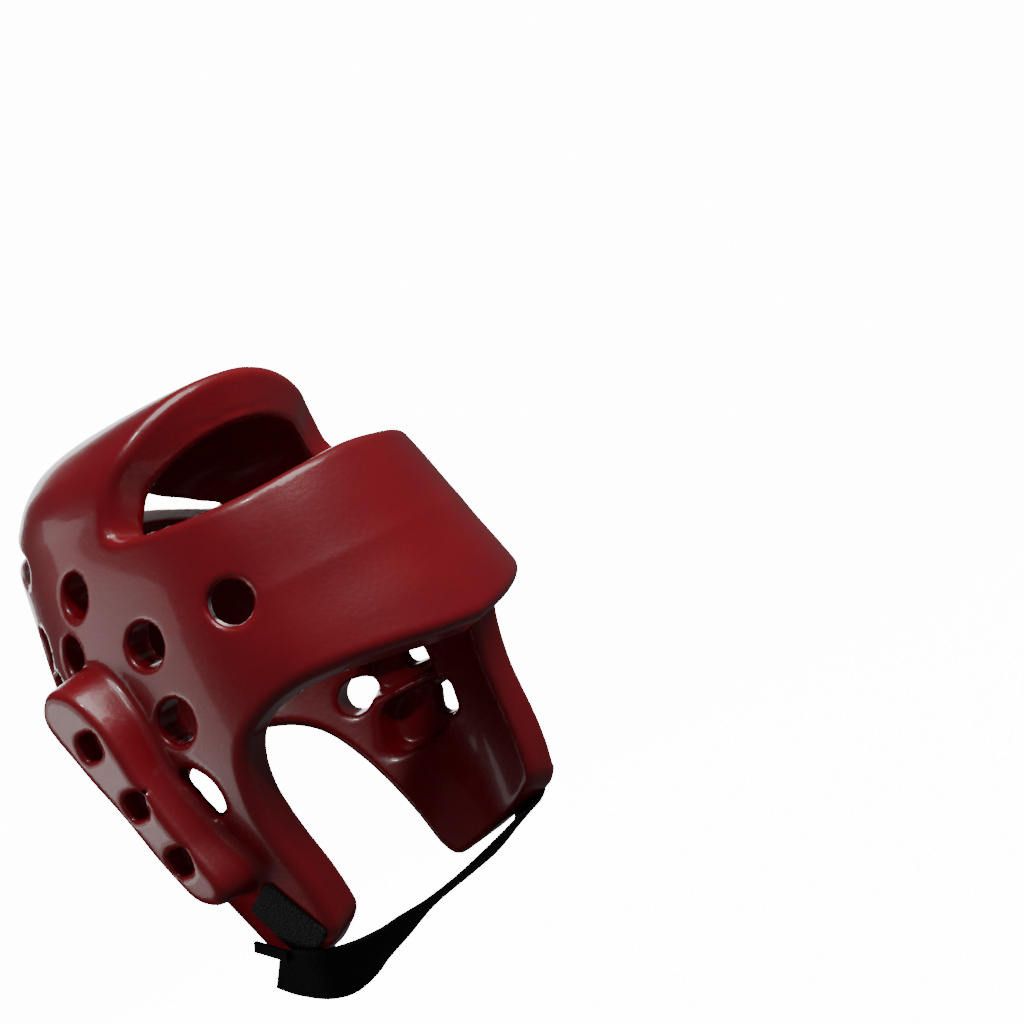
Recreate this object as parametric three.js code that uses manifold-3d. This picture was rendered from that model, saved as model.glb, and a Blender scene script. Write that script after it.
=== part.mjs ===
// Taekwondo headgear: a padded, dipped foam shell with ear guards, hook patches and a chin strap.
// Millimetres, +Z up. The wearer faces -Y and the left ear is on +X.
// The origin is where the crown of a head meets the inside of the shell.
import * as THREE from 'three';
import { mergeVertices } from 'three/addons/utils/BufferGeometryUtils.js';
import Module from 'manifold-3d';

const wasm = await Module();
wasm.setup();
const { Manifold, Mesh: SolidMesh } = wasm;

// Driving dimensions of the shell
const HALF_WIDTH = 97.7;       // outside, at the temples
const FRONT_REACH = 98.6;      // outside, from the ears forward at the temples
const REAR_REACH = 110.7;      // outside, from the ears back at the temples
const CROWN_RISE = 101;        // outside, from the temples up to the top
const CHEEK_DROP = 159;        // from the temples down to the cheek tips
const SHELL_WALL = 20;
const CROWN_WALL = 21;
const CHEEK_FRONT = 36;        // the cheeks' flat front face lies this far ahead of the ears
const BROW_UNDERCUT = 7;       // the brow's lower face drops this much on its way in
const VENT_DIAMETER = 20;
const SEAT_GAP = 0.3;

// Driving dimensions of the ear guards
const GUARD_STAND = 25;        // outer face, beyond the shell's half width
const GUARD_LENGTH = 112;
const GUARD_WIDTH = 32;
const GUARD_TOP = -2;          // height of the guard's top above the temples
const GUARD_TOP_BACK = 25;     // the guard's top lies this far behind the ears
const GUARD_LEAN = 0.32;       // forward travel for each millimetre down
const GUARD_EDGE = 5;          // rounding of the outer face's edge
const GUARD_SKIN = 10;         // foam left outside the ear chamber
const GUARD_HOLE = 13;
const PORT_RECESS = 12;         // depth of the hollows beside the ear

// Driving dimensions of the strap
const STRAP_WIDTH = 25;
const STRAP_THICKNESS = 2;
const PATCH_WIDTH = 24;
const PATCH_LENGTH = 34;
const PATCH_THICKNESS = 1.6;
const PATCH_BELOW = 3;         // from the guard's foot down to the patch
const TAIL_WIDTH = 8;
const TAIL_LENGTH = 22;
const TAIL_OUT = 1.2;          // from the shell's half width out to the loose end
const TAIL_DOWN = 0.88;        // share of the cheeks' drop
const TAIL_BEHIND = -0.055;    // share of the cheeks' front reach, back from the ears' line

// Fineness of the shell's surface
const SEGMENTS = 44;
const RINGS_PER_ROW = 1.3;
const VENT_SIDES = 18;
const STRAP_STEPS = 50;
const TEMPLE = CROWN_WALL - CROWN_RISE;
const BELOW = -330;
const FAR = 320;

// Horizontal sections of the outer surface, from the cheeks to the top.
// up is a share of the crown's rise, or of the cheeks' drop when negative.
// side, front and rear are shares of the half width and the reaches.
// back is a shift as a share of the rear reach, and wall is a share of the shell's wall.
// bowFront and bowRear are the exponents of the plan's outline.
const SECTIONS = [
  { up: -1.10, side: 0.850, front: 1.298, rear: 0.560, back: -0.226, bowFront: 2.40, bowRear: 2.07, wall: 1.15 },
  { up: -0.94, side: 0.912, front: 1.217, rear: 0.657, back: -0.226, bowFront: 2.39, bowRear: 2.07, wall: 1.15 },
  { up: -0.75, side: 0.976, front: 1.116, rear: 0.795, back: -0.226, bowFront: 2.37, bowRear: 2.07, wall: 1.12 },
  { up: -0.57, side: 1.045, front: 1.065, rear: 0.872, back: -0.180, bowFront: 2.35, bowRear: 2.07, wall: 1.08 },
  { up: -0.38, side: 1.070, front: 1.075, rear: 0.895, back: -0.090, bowFront: 2.34, bowRear: 2.07, wall: 1.04 },
  { up: -0.19, side: 1.049, front: 1.065, rear: 0.940, back: -0.020, bowFront: 2.32, bowRear: 2.07, wall: 1.00 },
  { up: 0.000, side: 1.000, front: 1.000, rear: 1.000, back: 0, bowFront: 2.30, bowRear: 2.07, wall: 1.00 },
  { up: 0.297, side: 0.924, front: 0.916, rear: 1.001, back: 0, bowFront: 2.30, bowRear: 2.07, wall: 1.00 },
  { up: 0.564, side: 0.834, front: 0.843, rear: 0.985, back: 0.01, bowFront: 2.30, bowRear: 2.12, wall: 1.00 },
  { up: 0.653, side: 0.805, front: 0.860, rear: 0.880, back: 0.05, bowFront: 2.30, bowRear: 2.20, wall: 1.00 },
  { up: 0.733, side: 0.770, front: 0.840, rear: 0.730, back: 0.11, bowFront: 2.30, bowRear: 2.25, wall: 0.90 },
  { up: 0.822, side: 0.706, front: 0.800, rear: 0.560, back: 0.17, bowFront: 2.30, bowRear: 2.30, wall: 0.80 },
  { up: 0.906, side: 0.594, front: 0.657, rear: 0.500, back: 0.15, bowFront: 2.30, bowRear: 2.30, wall: 0.80 },
  { up: 0.960, side: 0.450, front: 0.524, rear: 0.420, back: 0.11, bowFront: 2.30, bowRear: 2.30, wall: 0.75 },
  { up: 0.990, side: 0.266, front: 0.385, rear: 0.300, back: 0.05, bowFront: 2.20, bowRear: 2.20, wall: 0.75 },
  { up: 1.000, side: 0.120, front: 0.180, rear: 0.145, back: 0.02, bowFront: 2.00, bowRear: 2.00, wall: 0.75 },
];

// Rims, as angles from the front in degrees and heights as shares of the crown's rise or the cheeks' drop.
const FOREHEAD_RIM = [
  { angle: 0, up: 0.453 }, { angle: 20, up: 0.436 }, { angle: 40, up: 0.416 },
  { angle: 58, up: 0.424 }, { angle: 74, up: 0.452 }, { angle: 84, up: 0.500 },
];
const REAR_RIM = [
  { angle: 180, up: 0.71 }, { angle: 165, up: 0.68 }, { angle: 152, up: 0.63 },
  { angle: 143, up: 0.56 }, { angle: 134, up: 0.50 },
];
const CROWN_REAR_EDGE = [
  { angle: 131, up: 0.56 }, { angle: 137, up: 0.65 }, { angle: 147, up: 0.73 },
  { angle: 162, up: 0.81 }, { angle: 180, up: 0.85 },
];
const BROW_RIM = [
  { angle: 0, up: -0.323 }, { angle: 14, up: -0.305 }, { angle: 28, up: -0.279 }, { angle: 40, up: -0.262 },
  { angle: 50, up: -0.261 }, { angle: 58, up: -0.285 }, { angle: 64, up: -0.325 }, { angle: 69, up: -0.39 },
  { angle: 74, up: -0.50 }, { angle: 80, up: -0.70 }, { angle: 86, up: -1.0 },
];
const NECK_RIM = [
  { angle: 60, up: -0.90 }, { angle: 66, up: -0.945 }, { angle: 72, up: -0.985 }, { angle: 82, up: -1.01 },
  { angle: 92, up: -1.01 }, { angle: 99, up: -0.98 }, { angle: 105, up: -0.90 }, { angle: 111, up: -0.79 },
  { angle: 119, up: -0.67 }, { angle: 127, up: -0.57 }, { angle: 134, up: -0.50 }, { angle: 142, up: -0.445 },
  { angle: 150, up: -0.41 }, { angle: 165, up: -0.385 }, { angle: 180, up: -0.38 },
];

// The front edge of the crown panel: shares of the corner's half width, of its lean and of its rise
const ARCH_CORNER_UP = 0.562;
const ARCH_RISE = 0.415;       // share of the crown's rise
const ARCH_LEAN = 0.381;       // share of the front reach
const ARCH_POWER = 1.87;

// Vents, mirrored left and right: angle from the front and height
const VENTS = [
  { angle: 55, up: 0.014 }, { angle: 81.6, up: 0.006 }, { angle: 82.5, up: -0.217 },
  { angle: 104.6, up: 0.333 }, { angle: 112.7, up: 0.087 }, { angle: 133, up: 0.176 },
  { angle: 129, up: -0.02 }, { angle: 124.5, up: -0.45 }, { angle: 160, up: 0.10 },
];

const lerp = (a, b, t) => a + (b - a) * t;

function heightOf(up) {
  return TEMPLE + up * (up < 0 ? CHEEK_DROP : CROWN_RISE);
}

function spline(a, b, c, d, t) {
  const v0 = (c - a) / 2;
  const v1 = (d - b) / 2;
  return (2 * b - 2 * c + v0 + v1) * t ** 3 + (3 * c - 3 * b - 2 * v0 - v1) * t ** 2 + v0 * t + b;
}

// One section between the rows of the table
function sectionAt(place) {
  const last = SECTIONS.length - 1;
  const i = Math.min(Math.floor(place), last - 1);
  const near = [i - 1, i, i + 1, i + 2].map((k) => SECTIONS[Math.max(0, Math.min(last, k))]);
  const out = {};
  for (const key of Object.keys(SECTIONS[0])) {
    out[key] = spline(...near.map((row) => row[key]), place - i);
  }
  return out;
}

const RING_PLACES = [];
const RING_COUNT = Math.round((SECTIONS.length - 1) * RINGS_PER_ROW);
for (let i = 0; i <= RING_COUNT; i++) RING_PLACES.push((i / RING_COUNT) * (SECTIONS.length - 1));

// A ring's point, with the surface moved out by grow, or in when grow is negative
function ringPoint(section, angle, grow, lower) {
  const s = Math.sin(angle);
  const c = Math.cos(angle);
  const out = grow < 0 ? grow * section.wall : grow;
  const side = Math.max(section.side * HALF_WIDTH + out, 2);
  const reach = c >= 0 ? section.front * FRONT_REACH : section.rear * REAR_REACH;
  const power = c >= 0 ? section.bowFront : section.bowRear;
  const depth = Math.max(reach + out, 2);
  const r = (Math.abs(s / side) ** power + Math.abs(c / depth) ** power) ** (-1 / power);
  const z = heightOf(section.up);
  const kink = TEMPLE + 0.2 * CROWN_RISE;
  const top = TEMPLE + CROWN_RISE;
  const height = z <= kink ? z : kink + (z - kink) * ((top - lower - kink) / (top - kink));
  return new THREE.Vector3(r * s, section.back * REAR_REACH - r * c, height);
}

function geometryOf(positions, indices) {
  const geometry = new THREE.BufferGeometry();
  geometry.setAttribute('position', new THREE.Float32BufferAttribute(positions, 3));
  geometry.setIndex(indices);
  return geometry;
}

// A closed body through rings of equal length, ordered so that its faces point out
function loft(rings) {
  const count = rings[0].length;
  const positions = [];
  const indices = [];
  rings.forEach((ring) => ring.forEach((p) => positions.push(p.x, p.y, p.z)));
  for (let i = 0; i + 1 < rings.length; i++) {
    for (let j = 0; j < count; j++) {
      const a = i * count + j;
      const b = i * count + (j + 1) % count;
      indices.push(a, b, b + count, a, b + count, a + count);
    }
  }
  const ends = [[0, rings[0]], [(rings.length - 1) * count, rings[rings.length - 1]]];
  ends.forEach(([start, ring], end) => {
    const centre = ring.reduce((sum, p) => sum.add(p), new THREE.Vector3()).divideScalar(count);
    const hub = positions.length / 3;
    positions.push(centre.x, centre.y, centre.z);
    for (let j = 0; j < count; j++) {
      const a = start + j;
      const b = start + (j + 1) % count;
      indices.push(hub, end ? a : b, end ? b : a);
    }
  });
  return geometryOf(positions, indices);
}

function solidOf(source) {
  const geometry = source.clone();
  for (const name of ['normal', 'uv']) geometry.deleteAttribute(name);
  const merged = mergeVertices(geometry, 1e-4);
  const data = {
    numProp: 3,
    vertProperties: new Float32Array(merged.attributes.position.array),
    triVerts: new Uint32Array(merged.index.array),
  };
  const solid = new Manifold(new SolidMesh(data));
  if (solid.volume() >= 0) return solid;
  const flipped = data.triVerts.slice();
  for (let i = 0; i < flipped.length; i += 3) [flipped[i], flipped[i + 1]] = [flipped[i + 1], flipped[i]];
  return new Manifold(new SolidMesh({ ...data, triVerts: flipped }));
}

function geometryFrom(solid) {
  const mesh = solid.getMesh();
  return geometryOf(mesh.vertProperties, Array.from(mesh.triVerts));
}

const mirrored = (solid) => solid.mirror([1, 0, 0]);

// The shell's outer body moved out by grow, or its hollow when grow is negative
function shellBody(grow, lower = 0) {
  const rings = RING_PLACES.map((place) => {
    const section = sectionAt(place);
    const ring = [];
    for (let j = 0; j < SEGMENTS; j++) ring.push(ringPoint(section, (j / SEGMENTS) * 2 * Math.PI, grow, lower));
    return ring;
  });
  if (grow < 0) rings.unshift(rings[0].map((p) => new THREE.Vector3(p.x, p.y, BELOW)));
  return solidOf(loft(rings));
}

// A point on the outer surface at an angle from the front, in degrees, and a height share
function surfacePoint(degrees, up) {
  let low = 0;
  let high = SECTIONS.length - 1;
  for (let i = 0; i < 40; i++) {
    const middle = (low + high) / 2;
    if (sectionAt(middle).up < up) low = middle;
    else high = middle;
  }
  return ringPoint(sectionAt(low), THREE.MathUtils.degToRad(degrees), 0, 0);
}

const mirror = (point) => new THREE.Vector3(-point.x, point.y, point.z);

// A cutter through the wall: a closed loop on the surface drawn towards and away from a focus
function radialCutter(points, focus, near, far, count) {
  const loop = new THREE.CatmullRomCurve3(points, true, 'centripetal').getSpacedPoints(count).slice(0, -1);
  const ring = (share) => loop.map((p) => p.clone().sub(focus).multiplyScalar(share).add(focus));
  const reach = Math.max(...loop.map((p) => p.distanceTo(focus)));
  const middle = loop.reduce((sum, p) => sum.add(p), new THREE.Vector3()).divideScalar(loop.length);
  const axis = middle.sub(focus).normalize();
  const domed = (share) => {
    const pole = focus.clone().addScaledVector(axis, share * reach);
    return ring(share).map((p) => p.lerp(pole, 0.6));
  };
  return solidOf(loft([ring(near), ring(far), domed(far)]));
}

function crownOpening() {
  const focus = new THREE.Vector3(0, -20, TEMPLE + 20);
  const corner = surfacePoint(90, ARCH_CORNER_UP);
  const rim = FOREHEAD_RIM.map(({ angle, up }) => surfacePoint(angle, up));
  const arch = [20, 38, 56, 73, 90].map((degrees) => {
    const phi = THREE.MathUtils.degToRad(degrees);
    return new THREE.Vector3(
      corner.x * Math.cos(phi) ** (2 / ARCH_POWER),
      corner.y - ARCH_LEAN * FRONT_REACH * Math.sin(phi),
      corner.z + ARCH_RISE * CROWN_RISE * Math.sin(phi) ** (2 / ARCH_POWER),
    );
  });
  const left = [...rim, ...arch];
  const right = left.slice(1, -1).reverse().map(mirror);
  return radialCutter([...left, ...right], focus, 0.55, 1.6, 88);
}

function rearOpening() {
  const focus = new THREE.Vector3(0, 15, TEMPLE + 15);
  const left = [...REAR_RIM, ...CROWN_REAR_EDGE].map(({ angle, up }) => surfacePoint(angle, up));
  const right = left.slice(1, -1).reverse().map(mirror);
  return radialCutter([...left, ...right], focus, 0.55, 1.5, 72);
}

// A cutter for all that lies below a rim. The rim's face drops by undercut on its way in.
function belowRim(rim, from, to, step, undercut) {
  const rings = [];
  for (let degrees = from; degrees <= to; degrees += step) {
    const turn = Math.min(Math.abs(degrees), 360 - Math.abs(degrees));
    let i = 0;
    while (i < rim.length - 2 && rim[i + 1].angle < turn) i++;
    const share = THREE.MathUtils.clamp((turn - rim[i].angle) / (rim[i + 1].angle - rim[i].angle), 0, 1);
    const up = lerp(rim[i].up, rim[i + 1].up, share);
    const edge = surfacePoint(turn, up);
    const r = Math.hypot(edge.x, edge.y);
    const angle = THREE.MathUtils.degToRad(degrees);
    const at = (radius, z) => new THREE.Vector3(radius * Math.sin(angle), -radius * Math.cos(angle), z);
    rings.push([
      at(4, BELOW), at(FAR, BELOW), at(FAR, edge.z + undercut), at(r + SHELL_WALL, edge.z + undercut),
      at(r - 1.3 * SHELL_WALL, edge.z - 1.3 * undercut), at(4, edge.z - 1.3 * undercut),
    ]);
  }
  return solidOf(loft(rings));
}

function boxSolid(x0, x1, y0, y1, z0, z1) {
  const geometry = new THREE.BoxGeometry(x1 - x0, y1 - y0, z1 - z0);
  geometry.translate((x0 + x1) / 2, (y0 + y1) / 2, (z0 + z1) / 2);
  return solidOf(geometry);
}

// A round bore along the line from a to b
function bore(a, b, radius, sides) {
  const axis = b.clone().sub(a);
  const geometry = new THREE.CylinderGeometry(radius, radius, axis.length(), sides);

  const turn = new THREE.Quaternion().setFromUnitVectors(new THREE.Vector3(0, 1, 0), axis.normalize());
  geometry.applyQuaternion(turn);
  geometry.translate((a.x + b.x) / 2, (a.y + b.y) / 2, (a.z + b.z) / 2);
  return solidOf(geometry);
}

function vents() {
  let all = null;
  for (const { angle, up } of VENTS) {
    const point = surfacePoint(angle, up);
    const inward = new THREE.Vector3(0, 10, point.z).sub(point).normalize();
    const hole = bore(
      point.clone().addScaledVector(inward, -SHELL_WALL),
      point.clone().addScaledVector(inward, 2 * SHELL_WALL), VENT_DIAMETER / 2, VENT_SIDES,
    );
    const both = hole.add(mirrored(hole));
    all = all ? all.add(both) : both;
  }
  return all;
}

// Points of the guard's side outline are a share of its width across and of its length down its leaning axis
function guardPoint(across, down) {
  const z = TEMPLE + GUARD_TOP - down * GUARD_LENGTH;
  const y = GUARD_TOP_BACK - down * GUARD_LENGTH * GUARD_LEAN + across * GUARD_WIDTH;
  return new THREE.Vector2(y, z);
}

const GUARD_OUTLINE = [
  { across: 0.05, down: 0 }, { across: -0.36, down: 0.05 }, { across: -0.52, down: 0.2 },
  { across: -0.40, down: 0.45 }, { across: -0.38, down: 0.7 }, { across: -0.42, down: 0.92 },
  { across: -0.12, down: 1 }, { across: 0.28, down: 0.96 }, { across: 0.42, down: 0.8 },
  { across: 0.46, down: 0.55 }, { across: 0.54, down: 0.3 }, { across: 0.50, down: 0.1 },
];
const GUARD_HOLES = [0.235, 0.51, 0.77];
const HOLE_SHIFT = -0.06;      // of the holes across the guard, as a share of its width

// The hollows beside the ear: shares of the rear reach back from the ears' line, and of the cheeks' drop
const EAR_PORTS = [
  { behind: 0.154, long: 0.325, below: 0.396, tall: 0.138, down: 0.51 },
  { behind: 0.190, long: 0.416, below: 0.566, tall: 0.170, down: 0.77 },
];

// A prism along X from an outline in side view
function sidePrism(points, x0, x1, bevel = 0, divisions = 4) {
  const curve = new THREE.CatmullRomCurve3(points.map((p) => new THREE.Vector3(p.x, p.y, 0)), true);
  const shape = new THREE.Shape(curve.getSpacedPoints(points.length * divisions).slice(0, -1)
    .map((p) => new THREE.Vector2(p.x, p.y)));
  const geometry = new THREE.ExtrudeGeometry(shape, {
    depth: x1 - x0 - 2 * bevel, bevelEnabled: bevel > 0, bevelThickness: bevel, bevelSize: bevel,
    bevelOffset: -bevel, bevelSegments: 3, steps: 1,
  });
  geometry.translate(0, 0, x0 + bevel);
  const frame = new THREE.Matrix4().makeBasis(
    new THREE.Vector3(0, 1, 0), new THREE.Vector3(0, 0, 1), new THREE.Vector3(1, 0, 0),
  );
  geometry.applyMatrix4(frame);
  return solidOf(geometry);
}

function roundedSquare(centre, wide, tall, corner = 0.78) {
  const points = [];
  for (const [a, b] of [[1, 0], [corner, corner], [0, 1], [-corner, corner], [-1, 0], [-corner, -corner],
    [0, -1], [corner, -corner]]) {
    points.push(new THREE.Vector2(centre.x + (a * wide) / 2, centre.y + (b * tall) / 2));
  }
  return points;
}

const GUARD_FACE = HALF_WIDTH + GUARD_STAND;
const CHAMBER_FACE = GUARD_FACE - GUARD_SKIN;
const CHAMBER_TALL = 18;
const WINDOW_TALL = 10;
const WINDOW_DEEP = 8;

function chambers() {
  const inner = HALF_WIDTH - 2 * SHELL_WALL;
  return EAR_PORTS.map(({ down }) => {
    const outline = roundedSquare(guardPoint(0.1, down), 0.62 * GUARD_WIDTH, CHAMBER_TALL);
    return sidePrism(outline, inner, CHAMBER_FACE, 0, 2);
  });
}

// The hollows in the shell's inner face, which go through it under the guard, and the slot ahead of the guard
function earPorts() {
  const inner = HALF_WIDTH - 2 * SHELL_WALL;
  const hollows = EAR_PORTS.map(({ behind, below, long, tall }) => {
    const centre = new THREE.Vector2(behind * REAR_REACH, TEMPLE - below * CHEEK_DROP);
    const outline = roundedSquare(centre, long * REAR_REACH, tall * CHEEK_DROP);
    return sidePrism(outline, inner, HALF_WIDTH - SHELL_WALL + PORT_RECESS, 0, 2);
  });
  const top = guardPoint(-0.32, 0.48);
  const bottom = guardPoint(-0.36, 0.69);
  const middle = top.clone().lerp(bottom, 0.5);
  const away = new THREE.Vector2(-0.26 * GUARD_WIDTH, 0.07 * GUARD_WIDTH);
  const slotPoints = [
    top.clone(), middle.clone(), bottom.clone(), bottom.clone().add(away),
    middle.clone().addScaledVector(away, 1.5), top.clone().addScaledVector(away, 0.8),
  ];
  const slot = sidePrism(slotPoints, inner, GUARD_FACE, 0, 4);
  const all = [...hollows, ...chambers(), slot].reduce((sum, one) => sum.add(one));
  return all.add(mirrored(all));
}

function earGuard(outerBody) {
  const outline = GUARD_OUTLINE.map(({ across, down }) => guardPoint(across, down));
  let guard = sidePrism(outline, HALF_WIDTH - SHELL_WALL, GUARD_FACE, GUARD_EDGE, 3);
  guard = guard.subtract(outerBody);
  GUARD_HOLES.forEach((down, i) => {
    const depth = i === 0 ? 1.5 * GUARD_SKIN : 1.2 * GUARD_SKIN;
    const hole = roundedSquare(guardPoint(HOLE_SHIFT, down), GUARD_HOLE, GUARD_HOLE);
    guard = guard.subtract(sidePrism(hole, GUARD_FACE - depth, GUARD_FACE + 1, 0, 2));
  });
  chambers().forEach((chamber, i) => {
    const { y, z } = new THREE.Vector3(0, ...guardPoint(0.1, EAR_PORTS[i].down));
    const window = boxSolid(
      CHAMBER_FACE - WINDOW_DEEP, CHAMBER_FACE, y, y + GUARD_WIDTH, z - WINDOW_TALL / 2, z + WINDOW_TALL / 2,
    );
    guard = guard.subtract(chamber).subtract(window);
  });
  return guard;
}

// A thin plate that follows the shell's outer surface, cut to an outline in side view
function skinPlate(points, clearance, thickness) {
  const plate = shellBody(clearance + thickness).subtract(shellBody(clearance));
  return plate.intersect(sidePrism(points, HALF_WIDTH - 2 * SHELL_WALL, FAR, 0, 3));
}

// A flat band along a curve, as wide as width at each stop and lying across the given directions
function ribbon(stops, thickness, steps) {
  const curve = new THREE.CatmullRomCurve3(stops.map((stop) => stop.at));
  const across = new THREE.CatmullRomCurve3(stops.map((stop) => stop.across.clone().normalize()));
  const widths = new THREE.CatmullRomCurve3(stops.map((stop) => new THREE.Vector3(stop.width, 0, 0)));
  const rings = [];
  for (let i = 0; i <= steps; i++) {
    const t = i / steps;
    const centre = curve.getPoint(t);
    const tangent = curve.getTangent(t);
    const side = across.getPoint(t);
    side.addScaledVector(tangent, -side.dot(tangent)).normalize();
    const normal = new THREE.Vector3().crossVectors(tangent, side);
    const half = widths.getPoint(t).x / 2;
    const corner = (a, b) => centre.clone().addScaledVector(side, a * half)
      .addScaledVector(normal, (b * thickness) / 2);
    rings.push([corner(-1, -1), corner(1, -1), corner(1, 1), corner(-1, 1)]);
  }
  return solidOf(loft(rings));
}

// The patch lies on the outer cheek, just below the guard
const PATCH_TOP = new THREE.Vector2(-0.306 * CHEEK_FRONT, TEMPLE + GUARD_TOP - GUARD_LENGTH - PATCH_BELOW);
const PATCH_DOWN = new THREE.Vector2(-0.43, -0.9).normalize();

function patchOutline(width, length) {
  const side = new THREE.Vector2(PATCH_DOWN.y, -PATCH_DOWN.x);
  const at = (a, d) => PATCH_TOP.clone().addScaledVector(PATCH_DOWN, d).addScaledVector(side, a * width);
  return [at(-0.5, 0), at(0, 0), at(0.5, 0), at(0.5, length / 2), at(0.5, length), at(0, length),
    at(-0.5, length), at(-0.5, length / 2)];
}

// The strap's route from the right cheek to the left.
// side, ahead and down are shares of the half width, of the cheeks' front reach and of their drop.
// out is a share of the strap's lift off the foam, and width is a share of its width.
const STRAP_LIFT = 2 * SEAT_GAP + PATCH_THICKNESS + STRAP_THICKNESS / 2;
const STRAP_ROUTE = [
  { side: -0.987, out: -1, ahead: 0.39, down: 0.769, across: [0, 0.90, -0.43], width: 0.95 },
  { side: -0.952, out: -1, ahead: 0.53, down: 0.864, across: [0, 0.92, -0.38], width: 1.05 },
  { side: -0.921, out: -1, ahead: 0.56, down: 0.959, across: [0, 0.97, -0.20], width: 1.50 },
  { side: -0.916, out: 0, ahead: 0.53, down: 1.037, across: [0, 1, -0.05], width: 1.95 },
  { side: -0.788, out: 0, ahead: 0.67, down: 1.062, across: [0, 1, 0], width: 1.80 },
  { side: -0.573, out: 0, ahead: 0.78, down: 1.046, across: [0, 1, 0.10], width: 1.35 },
  { side: -0.307, out: 0, ahead: 0.75, down: 1.024, across: [0, 1, 0.18], width: 1.05 },
  { side: 0.000, out: 0, ahead: 0.61, down: 1.018, across: [0, 1, 0.20], width: 1 },
  { side: 0.358, out: 0, ahead: 0.53, down: 1.016, across: [0, 1, 0.20], width: 1 },
  { side: 0.635, out: 0, ahead: 0.56, down: 1.024, across: [0, 1, 0.10], width: 1 },
  { side: 0.829, out: 0, ahead: 0.61, down: 1.041, across: [0, 1, 0], width: 1 },
  { side: 0.901, out: 1, ahead: 0.67, down: 1.008, across: [0, 0.98, -0.20], width: 1 },
  { side: 0.934, out: 1, ahead: 0.64, down: 0.924, across: [0, 0.95, -0.30], width: 1 },
  { side: 0.960, out: 1, ahead: 0.53, down: 0.844, across: [0, 0.92, -0.38], width: 1 },
  { side: 0.987, out: 1, ahead: 0.39, down: 0.769, across: [0, 0.90, -0.43], width: 0.95 },
];

function strapStops() {
  return STRAP_ROUTE.map(({ side, out, ahead, down, across, width }) => ({
    at: new THREE.Vector3(
      side * HALF_WIDTH + out * STRAP_LIFT, -ahead * CHEEK_FRONT,
      TEMPLE - down * CHEEK_DROP - STRAP_THICKNESS / 2,
    ),
    across: new THREE.Vector3(...across),
    width: width * STRAP_WIDTH,
  }));
}

// The strap's loose end stands back from its fold at the right cheek
function strapTail() {
  const x = -HALF_WIDTH - TAIL_OUT;
  const y = TAIL_BEHIND * CHEEK_FRONT;
  const z = TEMPLE - TAIL_DOWN * CHEEK_DROP;
  return boxSolid(
    x - STRAP_THICKNESS, x, y - TAIL_LENGTH / 2, y + TAIL_LENGTH / 2, z - TAIL_WIDTH / 2, z + TAIL_WIDTH / 2,
  );
}

// The shell: an outer body less its hollow, its openings, its vents and its ports
function foamShell() {
  const front = belowRim(BROW_RIM, -88, 88, 4, BROW_UNDERCUT)
    .intersect(boxSolid(-FAR, FAR, -FAR, -CHEEK_FRONT, BELOW - 10, TEMPLE + CROWN_RISE));
  const neck = belowRim(NECK_RIM, 50, 310, 5, 0);
  return shellBody(0)
    .subtract(shellBody(-SHELL_WALL, CROWN_WALL))
    .subtract(crownOpening())
    .subtract(rearOpening())
    .subtract(front)
    .subtract(neck)
    .subtract(vents())
    .subtract(earPorts());
}

const FOAM = new THREE.MeshStandardMaterial({ color: 0x8c0f17, roughness: 0.22, metalness: 0 });
const WEBBING = new THREE.MeshStandardMaterial({ color: 0x0d0d0f, roughness: 0.85, metalness: 0 });
const HOOK = new THREE.MeshStandardMaterial({ color: 0x101013, roughness: 0.95, metalness: 0 });

const headgear = new THREE.Group();
headgear.name = 'taekwondo_headgear';

function addPart(name, solid, material) {
  const mesh = new THREE.Mesh(geometryFrom(solid), material);
  mesh.name = name;
  headgear.add(mesh);
}

const shell = foamShell();
addPart('foam_shell', shell, FOAM);

const seat = shellBody(SEAT_GAP);
const guard = earGuard(seat);
addPart('ear_guard_left', guard, FOAM);
addPart('ear_guard_right', mirrored(guard), FOAM);

const patch = skinPlate(patchOutline(PATCH_WIDTH, PATCH_LENGTH), SEAT_GAP, PATCH_THICKNESS);
addPart('hook_patch_left', patch, HOOK);
addPart('hook_patch_right', mirrored(patch), HOOK);

addPart('chin_strap', ribbon(strapStops(), STRAP_THICKNESS, STRAP_STEPS), WEBBING);

addPart('strap_tail', strapTail(), WEBBING);

export default headgear;
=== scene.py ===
"""Dressing for a dipped foam taekwondo headgear: the moulded foam skin, hook patches, chin strap and stage."""
import math

import bmesh
import bpy
import numpy as np
from bpy.props import FloatProperty, FloatVectorProperty, IntProperty, PointerProperty
from mathutils import Matrix, Vector


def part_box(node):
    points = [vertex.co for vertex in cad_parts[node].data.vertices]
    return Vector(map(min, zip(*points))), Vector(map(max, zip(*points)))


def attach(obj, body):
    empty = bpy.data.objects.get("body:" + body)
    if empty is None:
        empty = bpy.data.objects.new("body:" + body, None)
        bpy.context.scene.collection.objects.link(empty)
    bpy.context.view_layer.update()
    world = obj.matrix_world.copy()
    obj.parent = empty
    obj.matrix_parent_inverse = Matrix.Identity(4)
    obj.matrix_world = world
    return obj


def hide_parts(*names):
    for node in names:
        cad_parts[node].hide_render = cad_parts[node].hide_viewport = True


bl_info = {
    "name": "Taekwondo headgear",
    "version": (1, 0, 0),
    "blender": (4, 5, 0),
    "location": "3D View > Sidebar > Headgear",
    "description": "Builds a dipped foam headgear with its patches and chin strap",
    "category": "Add Mesh",
}

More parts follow.
